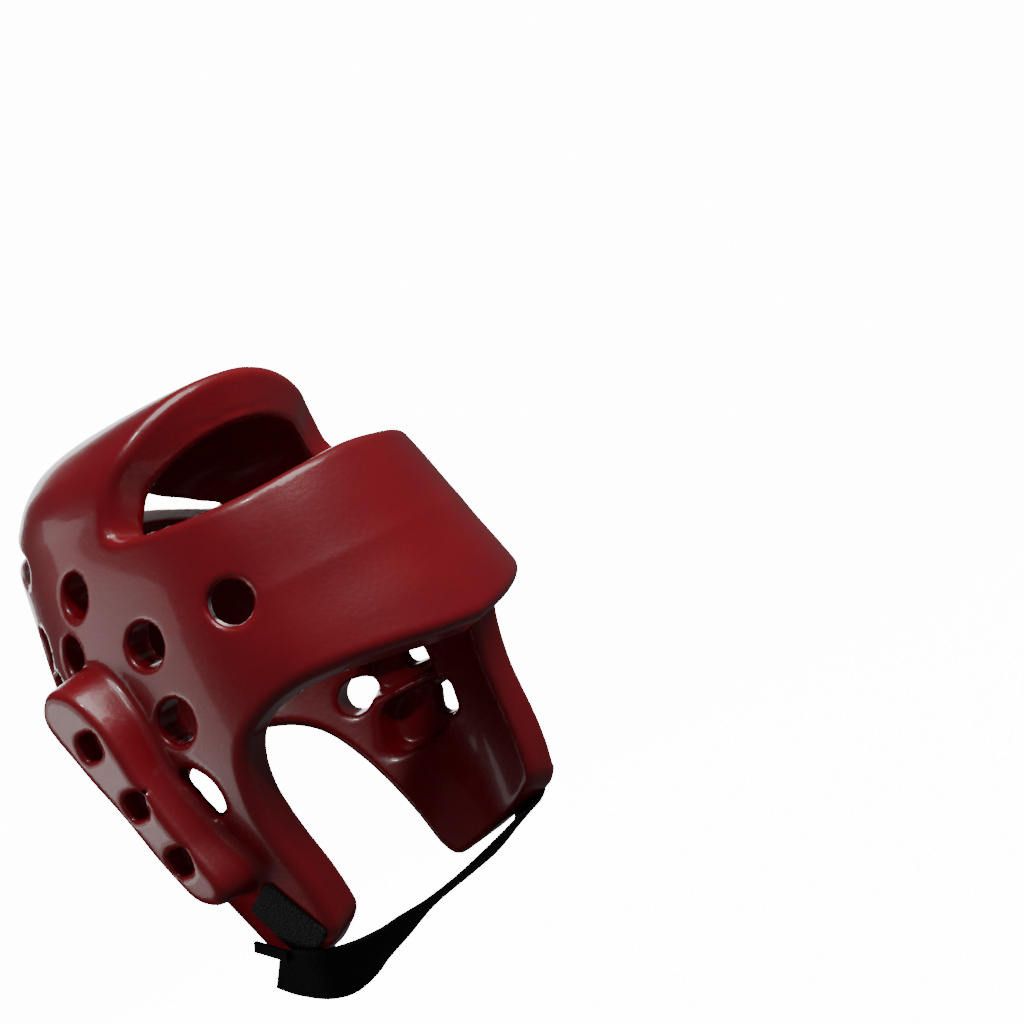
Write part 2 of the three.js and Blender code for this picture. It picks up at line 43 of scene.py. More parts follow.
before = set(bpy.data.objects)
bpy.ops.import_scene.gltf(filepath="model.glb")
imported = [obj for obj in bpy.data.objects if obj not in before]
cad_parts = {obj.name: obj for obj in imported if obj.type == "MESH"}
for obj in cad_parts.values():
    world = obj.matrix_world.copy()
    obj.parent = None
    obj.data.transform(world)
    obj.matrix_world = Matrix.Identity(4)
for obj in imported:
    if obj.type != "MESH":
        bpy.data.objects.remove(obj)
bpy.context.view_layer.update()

# Sizes of the foam, in millimetres
HALF_WIDTH, FRONT_REACH, REAR_REACH = 97.7, 98.6, 110.7
CROWN_RISE, CHEEK_DROP = 101.0, 159.0
SHELL_WALL, CROWN_WALL = 20.0, 21.0
TEMPLE = CROWN_WALL - CROWN_RISE
TOP = CROWN_WALL
CHEEK_FRONT, BROW_UNDERCUT, BROW_BLEND = 36.0, 4.5, 14.0
GUARD_FACE, GUARD_LENGTH, GUARD_WIDTH = 122.7, 112.0, 32.0
GUARD_TOP, GUARD_TOP_BACK, GUARD_LEAN = -2.0, 25.0, 0.32
SEAT_GAP, PATCH_THICKNESS, STRAP_THICKNESS = 0.3, 1.6, 2.0

# The swell of the cheek's front edge: how far it goes, its middle below the temples, its spread
CHEEK_SWELL, SWELL_DOWN, SWELL_SPREAD = 4.0, 125.0, 28.0

# The crown's top: how softly the outside and the hollow close, and where the sides are let go over its axis
TOP_BLEND, HOLLOW_BLEND = 3.0, 6.0
POLE_EASE, POLE_REACH, POLE_DROP = 6.0, 18.0, 0.5
LEAST_REACH = 2.0

# The height share above which the hollow is squeezed under the crown's wall
HOLLOW_KINK = 0.2

# up, side, front, rear, back, bow of the front, bow of the rear, wall
SECTIONS = np.array([
    (-1.10, 0.885, 1.298, 0.560, -0.226, 2.40, 2.07, 1.15),
    (-0.94, 0.945, 1.217, 0.657, -0.226, 2.39, 2.07, 1.15),
    (-0.75, 1.000, 1.116, 0.795, -0.226, 2.37, 2.07, 1.12),
    (-0.57, 1.045, 1.065, 0.872, -0.180, 2.35, 2.07, 1.08),
    (-0.38, 1.070, 1.075, 0.895, -0.090, 2.34, 2.07, 1.04),
    (-0.19, 1.049, 1.065, 0.940, -0.020, 2.32, 2.07, 1.00),
    (0.000, 1.000, 1.000, 1.000, 0.000, 2.30, 2.07, 1.00),
    (0.297, 0.924, 0.916, 1.001, 0.000, 2.30, 2.07, 1.00),
    (0.564, 0.834, 0.843, 0.985, 0.010, 2.30, 2.12, 1.00),
    (0.653, 0.805, 0.860, 0.880, 0.050, 2.30, 2.20, 1.00),
    (0.733, 0.770, 0.840, 0.730, 0.110, 2.30, 2.25, 0.90),
    (0.822, 0.706, 0.800, 0.560, 0.170, 2.30, 2.30, 0.80),
    (0.906, 0.594, 0.657, 0.500, 0.150, 2.30, 2.30, 0.80),
    (0.960, 0.450, 0.524, 0.420, 0.110, 2.30, 2.30, 0.75),
    (0.990, 0.266, 0.385, 0.300, 0.050, 2.20, 2.20, 0.75),
    (1.000, 0.120, 0.180, 0.145, 0.020, 2.00, 2.00, 0.75),
])

# Rims: angle from the front, height share
FOREHEAD_RIM = [(0, 0.453), (20, 0.436), (40, 0.416), (58, 0.424), (74, 0.452), (84, 0.500)]
REAR_RIM = [(180, 0.71), (165, 0.68), (152, 0.63), (143, 0.56), (134, 0.50)]
CROWN_REAR_EDGE = [(131, 0.56), (137, 0.65), (147, 0.76), (162, 0.86), (180, 0.90)]
BROW_RIM = [(0, -0.323), (14, -0.305), (28, -0.279), (40, -0.262), (50, -0.261), (58, -0.285),
            (64, -0.325), (69, -0.39), (74, -0.50), (80, -0.70), (86, -1.0)]
NECK_RIM = [(60, -0.87), (66, -0.91), (72, -0.945), (82, -0.975), (92, -1.0), (99, -1.0),
            (105, -0.95), (111, -0.85), (119, -0.72), (127, -0.60), (134, -0.51), (142, -0.445),
            (150, -0.41), (165, -0.385), (180, -0.38)]
ARCH_CORNER_UP, ARCH_RISE, ARCH_LEAN, ARCH_POWER = 0.562, 0.415, 0.381, 1.87
ARCH_TURNS = (20, 38, 56, 73, 90)

# Where the openings of the crown and the back are seen from, inside the hollow
CROWN_FOCUS, REAR_FOCUS = (0, -20, TEMPLE + 20), (0, 15, TEMPLE + 15)

# Vents: angle from the front, height share, radius; each is bored level towards VENT_AIM on the middle plane
VENT_AIM = 10.0
VENTS = [(55, 0.014, 10.0), (81.6, 0.006, 10.0), (82.5, -0.217, 10.0), (104.6, 0.333, 10.0),
         (112.7, 0.087, 10.0), (133, 0.176, 10.0), (129, -0.02, 10.0), (124.5, -0.435, 8.6), (160, 0.10, 10.0)]

# The guard's side outline: across and down its leaning axis
GUARD_OUTLINE = [(0.05, -0.045), (-0.36, 0.0), (-0.54, 0.17), (-0.43, 0.45), (-0.42, 0.7), (-0.42, 0.92),
                 (-0.12, 1), (0.28, 0.96), (0.42, 0.8), (0.46, 0.55), (0.54, 0.3), (0.50, 0.06)]
# How much the guard narrows for each step out, and how deep its root is sunk
GUARD_DRAFT, GUARD_ROOT, GUARD_SUNK = 0.15, 12.0, 6.0

# The guard's square sockets: their places down it and across it, then size, depth, corners and lip
GUARD_HOLES, HOLE_SHIFT = [0.235, 0.51, 0.77], -0.02
HOLE_SIZE, SOCKET_DEPTH, HOLE_CORNER, HOLE_ROUND = 12.5, 11.0, 4.0, 1.2

# The slot behind the cheek: where its outline is measured, its run back and down for each step inward
SLOT_AT, SLOT_SLANT = 100.0, (1.07, -0.10)
SLOT_DEEP, SLOT_ROUND = 22.0, 2.5

# The slot's ends across and down the guard, and its width away from them, in guard widths
SLOT_ENDS, SLOT_AWAY = ((-0.32, 0.48), (-0.36, 0.69)), (-0.26, 0.07)

# How much less the lining's edges are rounded than the skin's
LINING_SHARE = 0.75

# Hollows beside the ear: centre behind and below the ears' line, length, height
EAR_HOLLOWS = [(17.0, 63.0, 36.0, 22.0), (14.5, 91.0, 31.0, 26.0)]
EAR_CORNER, EAR_ROUND, EAR_WALL = 9.0, 3.0, 8.0

# Chambers behind the guard's face, and their windows to the back
PORTS_DOWN, CHAMBER_FACE = [0.51, 0.77], GUARD_FACE - 14.0
CHAMBER_ACROSS, CHAMBER_SHARE, CHAMBER_TALL, CHAMBER_CORNER, CHAMBER_ROUND = 0.1, 0.62, 18.0, 5.0, 2.0
WINDOW_DEEP, WINDOW_TALL, WINDOW_CORNER, WINDOW_ROUND = 8.0, 10.0, 3.0, 1.5

# The planes that outlines are charted on: low corner, high corner, step
OPENING_CHART = (-3, -3), (3, 3), 0.012
GUARD_CHART = (-70, TEMPLE - 150), (90, TEMPLE + 40), 0.5
SLOT_CHART = (-70, TEMPLE - 150), (60, TEMPLE), 0.5

# The grid that the foam is measured on: its ends in y and z, its margin past the guard, its slab in cells
GRID_Y, GRID_Z, GRID_MARGIN, GRID_SLAB = (-118.0, 116.0), (-250.0, TOP + 4), 3.0, 8


class HeadgearSizes(bpy.types.PropertyGroup):
    """Sizes of the dressing"""
    cell: FloatProperty(name="Foam cell", description="Spacing of the foam skin's points",
                        default=0.002, min=0.001, unit="LENGTH")
    rim: FloatProperty(name="Rim rounding", description="Radius of the foam's rims",
                       default=0.005, min=0.001, unit="LENGTH")
    vent_lip: FloatProperty(name="Vent lip", description="Rounding of the vents' mouths",
                            default=0.0026, min=0.0005, unit="LENGTH")
    fillet: FloatProperty(name="Guard fillet", description="Hollow rounding where the guards meet the shell",
                          default=0.004, min=0.0005, unit="LENGTH")
    guard_edge: FloatProperty(name="Guard edge", description="Rounding of the guards' outer edges",
                              default=0.0035, min=0.0005, unit="LENGTH")
    weave: FloatProperty(name="Weave pitch", description="Spacing of the strap's ribs",
                         default=0.0012, min=0.0003, unit="LENGTH")
    strap_steps: IntProperty(name="Strap steps", description="Stations along the strap", default=220, min=40)


class HeadgearColours(bpy.types.PropertyGroup):
    """Colours of the dressing"""
    foam: FloatVectorProperty(name="Foam", description="Colour of the dipped skin", subtype="COLOR",
                              size=4, default=(0.34, 0.006, 0.015, 1.0))
    foam_deep: FloatVectorProperty(name="Foam, deep", description="Colour of the skin where it is thick",
                                   subtype="COLOR", size=4, default=(0.24, 0.004, 0.012, 1.0))
    webbing: FloatVectorProperty(name="Webbing", description="Colour of the strap", subtype="COLOR",
                                 size=4, default=(0.0022, 0.0022, 0.0026, 1.0))
    hook: FloatVectorProperty(name="Hook tape", description="Colour of the hook patches", subtype="COLOR",
                              size=4, default=(0.0030, 0.0030, 0.0036, 1.0))


# ---- The foam as a signed distance, in millimetres --------------------------------------------

def height_of(up):
    """A height share as a height."""
    up = np.asarray(up, float)
    return TEMPLE + up * np.where(up < 0, CHEEK_DROP, CROWN_RISE)


def hermite(a, b, leave, arrive, t):
    """A curve from a to b, by its directions at both."""
    return ((2 * t ** 3 - 3 * t ** 2 + 1) * a + (t ** 3 - 2 * t ** 2 + t) * leave
            + (3 * t ** 2 - 2 * t ** 3) * b + (t ** 3 - t ** 2) * arrive)


def catmull(a, b, c, d, t):
    """A curve from b to c, led by their neighbours."""
    return hermite(b, c, (c - a) / 2, (d - b) / 2, t)


def evenly(line, count, closed=False):
    """Places spaced evenly along a line by its first three columns, and how far along each lies."""
    run = np.concatenate([[0], np.cumsum(np.linalg.norm(np.diff(line[:, :3], axis=0), axis=1))])
    at = np.linspace(0, run[-1], count, endpoint=not closed)
    return np.stack([np.interp(at, run, line[:, k]) for k in range(line.shape[1])], axis=1), at


def section_profile(count=900):
    """The heights of fine level sections, and each one's reaches, bows and wall in millimetres."""
    last = len(SECTIONS) - 1
    places = np.linspace(0, last, count)
    i = np.minimum(places.astype(int), last - 1)
    near = [SECTIONS[np.clip(i + k, 0, last)] for k in (-1, 0, 1, 2)]
    rows = catmull(*near, (places - i)[:, None])
    z = height_of(rows[:, 0])
    keep = np.concatenate([[True], np.diff(np.maximum.accumulate(z)) > 1e-6])
    rows, z = rows[keep], z[keep]
    scale = np.array([1, HALF_WIDTH, FRONT_REACH, REAR_REACH, REAR_REACH, 1, 1, SHELL_WALL])
    return z, rows * scale


PROFILE_Z, PROFILE = section_profile()


def side_reach(p, hollow):
    """Distance out of the outer surface, or of the hollow, measured in a level plane."""
    x, y, z = p
    if hollow:
        kink = TEMPLE + HOLLOW_KINK * CROWN_RISE
        z = np.where(z <= kink, z, kink + (z - kink) * (TOP - kink) / (TOP - CROWN_WALL - kink))
    at = [np.interp(z, PROFILE_Z, PROFILE[:, k]) for k in range(1, 8)]
    side, front, rear, back, bow_front, bow_rear, wall = at
    y = y - back
    ahead = y <= 0
    less = wall if hollow else 0.0
    side = np.maximum(side - less, LEAST_REACH)
    depth = np.maximum(np.where(ahead, front, rear) - less, LEAST_REACH)
    power = np.where(ahead, bow_front, bow_rear)
    grown = (np.abs(x / side) ** power + np.abs(y / depth) ** power) ** (1 / power)
    radius = np.hypot(x, y)
    return radius * (1 - 1 / np.maximum(grown, 1e-3))


def steady(field, p, step=0.6, low=0.25):
    """A field divided by its own slope, so that it reads as a distance."""
    value = field(p)
    slope = 0.0
    for k in range(3):
        moved = [q + step if k == i else q for i, q in enumerate(p)]
        slope = slope + ((field(moved) - value) / step) ** 2
    return value / np.sqrt(np.maximum(slope, low))


def smooth_max(a, b, k):
    """The larger of two, blended where they differ by less than k."""
    h = np.maximum(k - np.abs(a - b), 0) / k
    return np.maximum(a, b) + h * h * k / 4


def smooth_min(a, b, k):
    """The smaller of two, blended where they differ by less than k."""
    return -smooth_max(-a, -b, k)


def round_both(a, b, r):
    """What lies in both, with its edge rounded to radius r."""
    u, v = np.maximum(r + a, 0), np.maximum(r + b, 0)
    return np.minimum(-r, np.maximum(a, b)) + np.hypot(u, v)


def closed_above(p, hollow, top, k):
    """The outer surface or the hollow, closed at its top, with the sides let go over the crown's axis."""
    x, y, z = p
    over_axis = POLE_EASE * np.clip(1 - np.hypot(x, y - PROFILE[-1, 4]) / POLE_REACH, 0, 1)
    return smooth_max(steady(lambda q: side_reach(q, hollow), p) - over_axis, z - (top - POLE_DROP), k)


def cut(body, gap, r):
    """The body less what is inside the gap, with the edge rounded to radius r."""
    return round_both(body, -gap, r)


def surface_point(degrees, up):
    """A place on the outer surface, by its angle from the front and its height share."""
    angle = math.radians(degrees)
    z = float(height_of(up))
    at = [float(np.interp(z, PROFILE_Z, PROFILE[:, k])) for k in range(1, 7)]
    side, front, rear, back, bow_front, bow_rear = at
    s, c = math.sin(angle), math.cos(angle)
    depth, power = (front, bow_front) if c >= 0 else (rear, bow_rear)
    r = (abs(s / side) ** power + abs(c / depth) ** power) ** (-1 / power)
    return np.array([r * s, back - r * c, z])


# The places along one stretch of a curve between two of its points
STRETCH = np.linspace(0, 1, 24, endpoint=False)[:, None]


def closed_curve(points, count):
    """A centripetal curve through a closed loop of points, evenly spaced."""
    pts = np.array(points, float)
    n = len(pts)
    out = []
    for i in range(n):
        p0, p1, p2, p3 = pts[(i - 1) % n], pts[i], pts[(i + 1) % n], pts[(i + 2) % n]
        t1, t2, t3 = [max(np.linalg.norm(b - a) ** 0.5, 1e-4) for a, b in ((p0, p1), (p1, p2), (p2, p3))]
        m1 = ((p1 - p0) / t1 - (p2 - p0) / (t1 + t2) + (p2 - p1) / t2) * t2
        m2 = ((p2 - p1) / t2 - (p3 - p1) / (t2 + t3) + (p3 - p2) / t3) * t2
        out.append(hermite(p1, p2, m1, m2, STRETCH))
    return evenly(np.concatenate(out + [out[0][:1]]), count, closed=True)[0]


def polygon_distance(polygon, u, v):
    """Signed distance to a closed polygon in a plane, negative inside."""
    best = np.full(u.shape, 1e18)
    inside = np.zeros(u.shape, bool)
    for a, b in zip(polygon, np.roll(polygon, -1, axis=0)):
        e = b - a
        wu, wv = u - a[0], v - a[1]
        t = np.clip((wu * e[0] + wv * e[1]) / max(e @ e, 1e-12), 0, 1)
        best = np.minimum(best, (wu - t * e[0]) ** 2 + (wv - t * e[1]) ** 2)
        crossing = (a[1] > v) != (b[1] > v)
        inside ^= crossing & (u < a[0] + e[0] * (v - a[1]) / (e[1] if abs(e[1]) > 1e-12 else 1e-12))
    return np.where(inside, -1, 1) * np.sqrt(best)


class Chart:
    """A polygon's signed distance kept on a grid, read between its points."""

    def __init__(self, polygon, low, high, step):
        self.low, self.step = np.array(low, float), step
        nu, nv = [int(math.ceil((end - start) / step)) + 1 for start, end in zip(low, high)]
        u = low[0] + step * np.arange(nu)
        v = low[1] + step * np.arange(nv)
        uu, vv = np.meshgrid(u, v, indexing="ij")
        self.grid = polygon_distance(np.array(polygon), uu, vv)

    def read(self, u, v):
        """The distance at places in the plane, from the four grid points round each."""
        g = self.grid
        a = np.clip((u - self.low[0]) / self.step, 0, g.shape[0] - 1.001)
        b = np.clip((v - self.low[1]) / self.step, 0, g.shape[1] - 1.001)
        i, j = a.astype(int), b.astype(int)
        a, b = a - i, b - j
        return ((g[i, j] * (1 - b) + g[i, j + 1] * b) * (1 - a)
                + (g[i + 1, j] * (1 - b) + g[i + 1, j + 1] * b) * a)


class Opening:
    """An opening through the shell, seen from a focus in the hollow."""

    def __init__(self, points, focus):
        self.focus = np.array(focus, float)
        loop = closed_curve(points, 110)
        axis = loop.mean(axis=0) - self.focus
        self.axis = axis / np.linalg.norm(axis)
        self.across = np.array([1.0, 0, 0])
        self.up = np.cross(self.axis, self.across)
        u, v, _ = self.chart_place(loop.T)
        self.chart = Chart(np.stack([u, v], axis=1), *OPENING_CHART)

    def chart_place(self, p):
        """Where places are seen on the chart, and how far off they are."""
        q = [p[k] - self.focus[k] for k in range(3)]
        far = np.sqrt(q[0] ** 2 + q[1] ** 2 + q[2] ** 2) + 1e-9
        ahead = sum(q[k] * self.axis[k] for k in range(3)) / far
        scale = 2 / (np.maximum(1 + ahead, 0.05) * far)
        u = scale * sum(q[k] * self.across[k] for k in range(3))
        v = scale * sum(q[k] * self.up[k] for k in range(3))
        return u, v, far

    def distance(self, p):
        """Signed distance to the opening's walls, negative in the opening."""
        u, v, far = self.chart_place(p)
        return self.chart.read(u, v) * far / (1 + (u * u + v * v) / 4)


def mirror_loop(left):
    """A loop from its left half, whose ends lie on the middle plane."""
    return left + [np.array([-p[0], p[1], p[2]]) for p in left[1:-1][::-1]]


def crown_opening():
    """The opening above the forehead band, under the crown's arch."""
    corner = surface_point(90, ARCH_CORNER_UP)
    left = [surface_point(a, up) for a, up in FOREHEAD_RIM]
    for degrees in ARCH_TURNS:
        s, c = math.sin(math.radians(degrees)), max(math.cos(math.radians(degrees)), 0)
        left.append(np.array([corner[0] * c ** (2 / ARCH_POWER), corner[1] - ARCH_LEAN * FRONT_REACH * s,
                              corner[2] + ARCH_RISE * CROWN_RISE * s ** (2 / ARCH_POWER)]))
    return Opening(mirror_loop(left), CROWN_FOCUS)


def rear_opening():
    """The opening between the rear band and the crown's rear edge."""
    left = [surface_point(a, up) for a, up in REAR_RIM + CROWN_REAR_EDGE]
    return Opening(mirror_loop(left), REAR_FOCUS)


class Rim:
    """A rim that everything below is cut away from."""

    def __init__(self, rows, undercut):
        self.slope = undercut / SHELL_WALL
        angles = np.array([a for a, _ in rows], float)
        ups = np.array([u for _, u in rows], float)
        fine = np.linspace(angles[0], angles[-1], 240)
        slopes = np.gradient(ups, angles)
        i = np.clip(np.searchsorted(angles, fine) - 1, 0, len(rows) - 2)
        wide = angles[i + 1] - angles[i]
        up = hermite(ups[i], ups[i + 1], wide * slopes[i], wide * slopes[i + 1], (fine - angles[i]) / wide)
        edge = np.array([surface_point(a, u) for a, u in zip(fine, up)])
        self.angles, self.z = fine, edge[:, 2]
        self.r = np.hypot(edge[:, 0], edge[:, 1])

    def above(self, p):
        """How far a point is above the rim's face, in height."""
        x, y, z = p
        angle = np.degrees(np.arctan2(np.abs(x), -y))
        z0 = np.interp(angle, self.angles, self.z)
        r0 = np.interp(angle, self.angles, self.r)
        return z - z0 - self.slope * (np.hypot(x, y) - r0)


def guard_point(across, down):
    """A place on the guard seen from the side, by shares of its width and length."""
    return np.array([GUARD_TOP_BACK - down * GUARD_LENGTH * GUARD_LEAN + across * GUARD_WIDTH,
                     TEMPLE + GUARD_TOP - down * GUARD_LENGTH])


def soft_square(p, centre, wide, tall, corner):
    """Signed distance to a rectangle with round corners, seen from the side."""
    u = np.abs(p[1] - centre[0]) - (wide / 2 - corner)
    v = np.abs(p[2] - centre[1]) - (tall / 2 - corner)
    return np.hypot(np.maximum(u, 0), np.maximum(v, 0)) + np.minimum(np.maximum(u, v), 0) - corner


class Foam:
    """The whole moulding as one signed distance, for the left half and its mirror image."""

    def __init__(self, rim, lip, fillet, edge):
        self.rim, self.lip, self.fillet, self.edge = rim, lip, fillet, edge
        self.crown, self.rear = crown_opening(), rear_opening()
        self.brow, self.neck = Rim(BROW_RIM, BROW_UNDERCUT), Rim(NECK_RIM, 0)
        outline = closed_curve([guard_point(a, d) for a, d in GUARD_OUTLINE], 96)
        self.guard = Chart(outline, *GUARD_CHART)
        away = GUARD_WIDTH * np.array(SLOT_AWAY)
        top, bottom = [guard_point(*end) for end in SLOT_ENDS]
        middle = (top + bottom) / 2
        slot = closed_curve([top, middle, bottom, bottom + away, middle + 1.5 * away, top + 0.8 * away], 60)
        self.slot = Chart(slot, *SLOT_CHART)
        self.vents = []
        for degrees, up, radius in VENTS:
            point = surface_point(degrees, up)
            inward = np.array([0, VENT_AIM, point[2]]) - point
            self.vents.append((point, inward / np.linalg.norm(inward), radius))

    def vent(self, p, point, inward, radius):
        """Signed distance to a round bore through the wall."""
        q = [p[k] - point[k] for k in range(3)]
        along = sum(q[k] * inward[k] for k in range(3))
        off = [q[k] - along * inward[k] for k in range(3)]
        gap = np.sqrt(off[0] ** 2 + off[1] ** 2 + off[2] ** 2) - radius
        return np.maximum(gap, np.maximum(-along - SHELL_WALL, along - 2 * SHELL_WALL))

    def distance(self, p):
        """Signed distance to the foam, negative in it."""
        p = [np.abs(p[0]), p[1], p[2]]
        outer = closed_above(p, False, TOP, TOP_BLEND)
        return self.with_sockets(p, self.with_guard(p, self.shell(p, outer), outer))

    def shell(self, p, outer):
        """The shell with its rims, openings, vents, slot and ear hollows."""
        x, y, z = p
        hollow = closed_above(p, True, TOP - CROWN_WALL, HOLLOW_BLEND)
        swell = CHEEK_SWELL * np.exp(-((z - TEMPLE + SWELL_DOWN) / SWELL_SPREAD) ** 2)
        front = smooth_max(steady(self.brow.above, p), y + CHEEK_FRONT + swell, BROW_BLEND)
        openings = (front, steady(self.neck.above, p), self.crown.distance(p), self.rear.distance(p))
        gaps = [(gap, self.rim) for gap in openings]
        gaps += [(self.vent(p, *row), self.lip) for row in self.vents]
        skin, lining = outer, -hollow
        for gap, r in gaps:
            skin, lining = cut(skin, gap, r), cut(lining, gap, r * LINING_SHARE)
        shell = np.maximum(skin, lining)
        inward = SLOT_AT - x
        slot = self.slot.read(y - SLOT_SLANT[0] * inward, z - SLOT_SLANT[1] * inward)
        shell = cut(shell, np.maximum(slot, SLOT_AT - SLOT_DEEP - x), SLOT_ROUND)
        for behind, below, wide, tall in EAR_HOLLOWS:
            gap = soft_square(p, (behind, TEMPLE - below), wide, tall, EAR_CORNER)
            shell = cut(shell, np.maximum(gap, outer + EAR_WALL), EAR_ROUND)
        return shell

    def with_guard(self, p, shell, outer):
        """The shell joined to the ear guard by a fillet."""
        x, y, z = p
        draft = GUARD_DRAFT * np.clip(x - SLOT_AT, 0, None)
        guard = round_both(self.guard.read(y, z) + draft, x - GUARD_FACE, self.edge)
        guard = np.maximum(guard, (HALF_WIDTH - GUARD_ROOT) - x)
        guard = np.maximum(guard, -outer - GUARD_SUNK)
        return smooth_min(shell, guard, self.fillet)

    def with_sockets(self, p, foam):
        """The foam less the guard's sockets, the chambers behind them and their windows."""
        x = p[0]
        for down in GUARD_HOLES:
            gap = soft_square(p, guard_point(HOLE_SHIFT, down), HOLE_SIZE, HOLE_SIZE, HOLE_CORNER)
            foam = cut(foam, np.maximum(gap, (GUARD_FACE - SOCKET_DEPTH) - x), HOLE_ROUND)
        for down in PORTS_DOWN:
            centre = guard_point(CHAMBER_ACROSS, down)
            gap = soft_square(p, centre, CHAMBER_SHARE * GUARD_WIDTH, CHAMBER_TALL, CHAMBER_CORNER)
            foam = cut(foam, np.maximum(gap, x - CHAMBER_FACE), CHAMBER_ROUND)
            behind = centre + np.array([GUARD_WIDTH / 2, 0])
            window = soft_square(p, behind, GUARD_WIDTH, WINDOW_TALL, WINDOW_CORNER)
            window = np.maximum(window, np.maximum(x - CHAMBER_FACE, (CHAMBER_FACE - WINDOW_DEEP) - x))
            foam = cut(foam, window, WINDOW_ROUND)
        return foam


def surface_nets(values, low, step):
    """Points and four-cornered faces where a grid of values passes through nought."""
    nx, ny, nz = values.shape
    inside = values < 0
    total = np.zeros((nx - 1, ny - 1, nz - 1, 3))
    count = np.zeros((nx - 1, ny - 1, nz - 1))
    for axis in range(3):
        a = [slice(None)] * 3
        b = [slice(None)] * 3
        a[axis], b[axis] = slice(0, -1), slice(1, None)
        va, vb = values[tuple(a)], values[tuple(b)]
        crossed = inside[tuple(a)] != inside[tuple(b)]
        share = np.where(crossed, va / np.where(crossed, va - vb, 1), 0)
        others = [k for k in range(3) if k != axis]
        for m in (0, 1):
            for n in (0, 1):
                pick = [slice(None)] * 3
                pick[others[0]] = slice(m, m + values.shape[others[0]] - 1)
                pick[others[1]] = slice(n, n + values.shape[others[1]] - 1)
                hit, at = crossed[tuple(pick)], share[tuple(pick)]
                total[..., axis] += at
                total[..., others[0]] += hit * m
                total[..., others[1]] += hit * n
                count += hit
    used = count > 0
    index = np.full(used.shape, -1)
    index[used] = np.arange(used.sum())
    cells = np.stack(np.nonzero(used), axis=1)
    points = np.array(low) + step * (cells + total[used] / count[used][:, None])
    faces = []
    for axis in range(3):
        u, v = (axis + 1) % 3, (axis + 2) % 3
        a = [slice(1, -1)] * 3
        b = [slice(1, -1)] * 3
        a[axis], b[axis] = slice(0, -1), slice(1, None)
        first, second = inside[tuple(a)], inside[tuple(b)]
        for flipped, which in ((False, first & ~second), (True, ~first & second)):
            i = np.stack(np.nonzero(which), axis=1)
            i[:, u] += 1
            i[:, v] += 1
            corners = []
            for du, dv in ((-1, -1), (0, -1), (0, 0), (-1, 0)):
                c = i.copy()
                c[:, u] += du
                c[:, v] += dv
                corners.append(index[c[:, 0], c[:, 1], c[:, 2]])
            quad = np.stack(corners, axis=1)
            faces.append(quad[:, ::-1] if flipped else quad)
    return points, np.concatenate(faces)


def settle(points, faces, field, rounds=3, step=0.35):
    """Evens out the points and draws them onto the true surface."""
    links = np.concatenate([faces[:, [k, (k + 1) % 4]] for k in range(4)])
    degree = sum(np.bincount(links[:, k], minlength=len(points)) for k in (0, 1))
    for turn in range(rounds + 1):
        if turn < rounds:
            mean = np.zeros_like(points)
            for k in range(3):
                mean[:, k] = (np.bincount(links[:, 0], points[links[:, 1], k], len(points))
                              + np.bincount(links[:, 1], points[links[:, 0], k], len(points)))
            points = points + 0.5 * (mean / degree[:, None] - points)
        for _ in range(2):
            p = points.T
            value = field(p)
            slope = np.stack([(field([q + step if k == i else q for i, q in enumerate(p)])
                               - field([q - step if k == i else q for i, q in enumerate(p)])) / (2 * step)
                              for k in range(3)], axis=1)
            size = np.maximum((slope ** 2).sum(axis=1), 0.3)
            move = -(value / size)[:, None] * slope
            length = np.linalg.norm(move, axis=1, keepdims=True)
            points = points + move * np.minimum(1, 1.0 / np.maximum(length, 1e-9))
    return points


def mesh_object(name, points, faces, material):
    """A smooth mesh in metres from points in millimetres, with every face turned outward."""
    mesh = bpy.data.meshes.new(name)
    mesh.from_pydata((np.asarray(points, float) / 1000).tolist(), [], [tuple(map(int, f)) for f in faces])
    mesh.validate()
    shape = bmesh.new()
    shape.from_mesh(mesh)
    bmesh.ops.recalc_face_normals(shape, faces=shape.faces)
    shape.to_mesh(mesh)
    shape.free()
    mesh.polygons.foreach_set("use_smooth", [True] * len(mesh.polygons))
    mesh.materials.append(material)
    piece = bpy.data.objects.new(name, mesh)
    bpy.context.scene.collection.objects.link(piece)
    return piece


# ---- Shaders -----------------------------------------------------------------------------------

class Wire:
    """A socket that Python's operators can be used on."""

    def __init__(self, shader, socket):
        self.shader, self.socket = shader, socket

    def maths(self, operation, *values, clamp=False):
        return self.shader.node("ShaderNodeMath", {"operation": operation, "use_clamp": clamp},
                                dict(enumerate(values)))

    def __add__(self, other):
        return self.maths("ADD", self, other)

    def __sub__(self, other):
        return self.maths("SUBTRACT", self, other)

    def __mul__(self, other):
        return self.maths("MULTIPLY", self, other)

    def __radd__(self, other):
        return self.maths("ADD", other, self)

    def __rsub__(self, other):
        return self.maths("SUBTRACT", other, self)

    def __rmul__(self, other):
        return self.maths("MULTIPLY", other, self)

    def clamped(self):
        return self.maths("ADD", self, 0.0, clamp=True)

    def sine(self):
        return self.maths("SINE", self)


